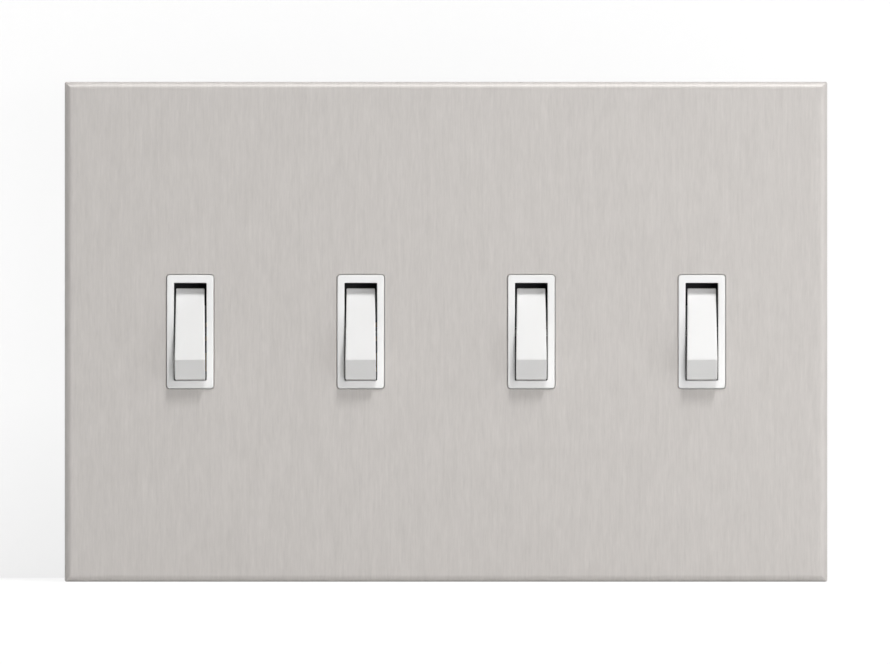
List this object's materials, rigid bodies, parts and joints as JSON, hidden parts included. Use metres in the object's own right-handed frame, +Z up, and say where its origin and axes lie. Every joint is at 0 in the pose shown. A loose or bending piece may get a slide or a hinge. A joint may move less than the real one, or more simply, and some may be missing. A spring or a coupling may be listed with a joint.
{
  "type": "toggle wall switch",
  "caption": "Ganged toggle wall switch: brushed metal screwless cover plate, white bezels with wedge-shaped levers, and switch bodies behind on steel mounting straps.",
  "frame": {"origin": "middle of the outer box-screw slot pattern, on the wall surface", "axes": "+X right across the gangs, +Y into the wall, +Z up; the levers face -Y"},
  "size_m": [0.206, 0.0386, 0.135],
  "materials": {
    "brushed_plate": "vertically brushed stainless sheet",
    "frame_plastic": "moulded light grey plastic",
    "white_plastic": "smooth white moulded plastic",
    "housing_plastic": "dark moulded thermoset",
    "zinc_steel": "zinc-plated steel strap",
    "plunger_plastic": "natural acetal",
    "spring_steel": "spring steel",
    "contact_brass": "rolled brass",
    "screw_steel": "zinc-plated steel",
    "screw_brass": "turned brass",
    "ground_green": "green lacquer on steel",
    "rivet_steel": "plated steel",
    "pin_steel": "ground steel"
  },
  "bodies": {
    "base": {"faceplate": "brushed_plate", "mounting_frame": "frame_plastic", "frame_screws": "screw_steel", "terminal_screws": "screw_brass", "ground_screws": "ground_green", "housing_rivets": "rivet_steel", "pivot_pins": "pin_steel", "bezel_1": "white_plastic", "housing_1": "housing_plastic", "yoke_1": "zinc_steel", "common_terminal_1": "contact_brass", "switched_terminal_1": "contact_brass", "bezel_2": "white_plastic", "housing_2": "housing_plastic", "yoke_2": "zinc_steel", "common_terminal_2": "contact_brass", "switched_terminal_2": "contact_brass", "bezel_3": "white_plastic", "housing_3": "housing_plastic", "yoke_3": "zinc_steel", "common_terminal_3": "contact_brass", "switched_terminal_3": "contact_brass", "bezel_4": "white_plastic", "housing_4": "housing_plastic", "yoke_4": "zinc_steel", "common_terminal_4": "contact_brass", "switched_terminal_4": "contact_brass"},
    "toggle_1": {"lever_1": "white_plastic", "plunger_1": "plunger_plastic", "plunger_spring_1": "spring_steel"},
    "rocker_1": {"contact_rocker_1": "contact_brass"},
    "toggle_2": {"lever_2": "white_plastic", "plunger_2": "plunger_plastic", "plunger_spring_2": "spring_steel"},
    "rocker_2": {"contact_rocker_2": "contact_brass"},
    "toggle_3": {"lever_3": "white_plastic", "plunger_3": "plunger_plastic", "plunger_spring_3": "spring_steel"},
    "rocker_3": {"contact_rocker_3": "contact_brass"},
    "toggle_4": {"lever_4": "white_plastic", "plunger_4": "plunger_plastic", "plunger_spring_4": "spring_steel"},
    "rocker_4": {"contact_rocker_4": "contact_brass"}
  },
  "joints": [
    {"name": "toggle_1_hinge", "type": "hinge", "parent": "base", "child": "toggle_1", "pos_m": [-0.06906, 0.00408, 0], "axis": [-1, 0, 0], "range_deg": [0, 64]},
    {"name": "rocker_1_hinge", "type": "hinge", "parent": "base", "child": "rocker_1", "pos_m": [-0.06906, 0.01658, 0], "axis": [1, 0, 0], "range_deg": [0, 12]},
    {"name": "toggle_2_hinge", "type": "hinge", "parent": "base", "child": "toggle_2", "pos_m": [-0.02302, 0.00408, 0], "axis": [-1, 0, 0], "range_deg": [0, 64]},
    {"name": "rocker_2_hinge", "type": "hinge", "parent": "base", "child": "rocker_2", "pos_m": [-0.02302, 0.01658, 0], "axis": [1, 0, 0], "range_deg": [0, 12]},
    {"name": "toggle_3_hinge", "type": "hinge", "parent": "base", "child": "toggle_3", "pos_m": [0.02302, 0.00408, 0], "axis": [-1, 0, 0], "range_deg": [0, 64]},
    {"name": "rocker_3_hinge", "type": "hinge", "parent": "base", "child": "rocker_3", "pos_m": [0.02302, 0.01658, 0], "axis": [1, 0, 0], "range_deg": [0, 12]},
    {"name": "toggle_4_hinge", "type": "hinge", "parent": "base", "child": "toggle_4", "pos_m": [0.06906, 0.00408, 0], "axis": [-1, 0, 0], "range_deg": [0, 64]},
    {"name": "rocker_4_hinge", "type": "hinge", "parent": "base", "child": "rocker_4", "pos_m": [0.06906, 0.01658, 0], "axis": [1, 0, 0], "range_deg": [0, 12]}
  ],
  "couplings": [
    {"joint": "rocker_1_hinge", "follows": "toggle_1_hinge", "ratio": 0.1875},
    {"joint": "rocker_2_hinge", "follows": "toggle_2_hinge", "ratio": 0.1875},
    {"joint": "rocker_3_hinge", "follows": "toggle_3_hinge", "ratio": 0.1875},
    {"joint": "rocker_4_hinge", "follows": "toggle_4_hinge", "ratio": 0.1875}
  ]
}
